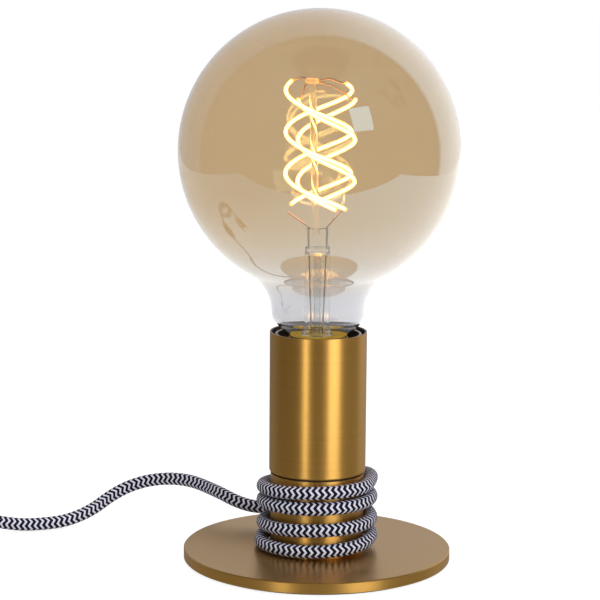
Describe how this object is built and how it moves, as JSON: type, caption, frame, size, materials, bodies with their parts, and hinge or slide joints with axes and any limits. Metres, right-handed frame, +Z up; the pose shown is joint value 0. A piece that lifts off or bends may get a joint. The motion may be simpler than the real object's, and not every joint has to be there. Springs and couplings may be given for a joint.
{
  "type": "bare bulb table lamp",
  "caption": "Bare bulb table lamp: round base plate, short column wound with its textile cord, tall socket sleeve and a large clear globe bulb that screws out.",
  "frame": {"origin": "centre of the lamp's underside, on the axis of column and bulb, at the face that stands on the table", "axes": "+Z up along the column; -Y towards the viewer; the cord leaves behind the column towards -X"},
  "size_m": [0.3889, 0.1348, 0.2473],
  "materials": {
    "brushed_brass": "brushed, clear lacquer",
    "zinc_steel": "zinc plated",
    "nickel": "nickel plated",
    "copper_strip": "bare spring brass",
    "black_phenolic": "moulded, satin",
    "ceramic_white": "glazed",
    "black_rubber": "matt",
    "amber_glass": "clear amber tint",
    "clear_glass": "clear",
    "filament_phosphor": "phosphor coating",
    "bulb_wire": "bare",
    "board_green": "lacquered",
    "black_glass_insulator": "glossy",
    "textile_cord": "zigzag textile braid in black and white",
    "cement": "dull, set cement",
    "brown_insulation": "smooth",
    "blue_insulation": "smooth",
    "gold_plastic": "moulded, satin",
    "black_plastic": "moulded, satin"
  },
  "bodies": {
    "lamp": {"base_plate": "brushed_brass", "base_pad": "black_rubber", "base_washer": "zinc_steel", "base_screw": "zinc_steel", "column": "brushed_brass", "column_foot": "zinc_steel", "cord_bushing": "black_plastic", "cord_clamp": "zinc_steel", "clamp_screw": "zinc_steel", "live_wire": "brown_insulation", "neutral_wire": "blue_insulation", "gap_washer": "black_plastic", "threaded_nipple": "zinc_steel", "nipple_nut": "zinc_steel", "socket_sleeve": "brushed_brass", "holder_cap": "black_phenolic", "nipple_lock_screw": "zinc_steel", "holder_skirt": "black_phenolic", "terminal_block": "ceramic_white", "terminal_screws": "zinc_steel", "screw_shell": "nickel", "side_contact": "copper_strip", "centre_contact": "copper_strip", "cord_winding": "textile_cord", "cord_run": "textile_cord", "switch_base": "gold_plastic", "switch_cover": "gold_plastic", "rocker_pin": "zinc_steel", "switch_contacts": "copper_strip", "switch_screws": "zinc_steel", "cord_lead": "textile_cord", "cord_coil": "textile_cord", "coil_tie": "black_plastic", "cord_end": "textile_cord", "plug_relief": "gold_plastic", "plug_body": "gold_plastic", "plug_pins": "nickel"},
    "bulb_core": {"cap_contact": "nickel"},
    "bulb": {"cap_shell": "brushed_brass", "cap_insulator": "black_glass_insulator", "cap_cement": "cement", "driver_board": "board_green", "bulb_glass": "amber_glass", "bulb_stem": "clear_glass", "support_rod": "clear_glass", "top_bead": "clear_glass", "lead_in_wires": "bulb_wire", "anchor_wires": "bulb_wire", "filament_1": "filament_phosphor", "filament_2": "filament_phosphor", "filament_3": "filament_phosphor", "filament_4": "filament_phosphor"},
    "rocker": {"switch_rocker": "black_plastic"}
  },
  "joints": [
    {"name": "bulb_lift", "type": "slide", "parent": "lamp", "child": "bulb_core", "axis": [0, 0, 1], "range_m": [0, 0.0109]},
    {"name": "bulb_turn", "type": "hinge", "parent": "bulb_core", "child": "bulb", "pos_m": [0, 0, 0.0755], "axis": [0, 0, 1], "range_deg": [0, 1080]},
    {"name": "rocker_tilt", "type": "hinge", "parent": "lamp", "child": "rocker", "pos_m": [-0.1965, 0.0396, 0.0135], "axis": [0, 1, 0], "range_deg": [-18, 0]}
  ],
  "couplings": [
    {"joint": "bulb_lift", "follows": "bulb_turn", "m_per_rad": 0.00057757}
  ]
}
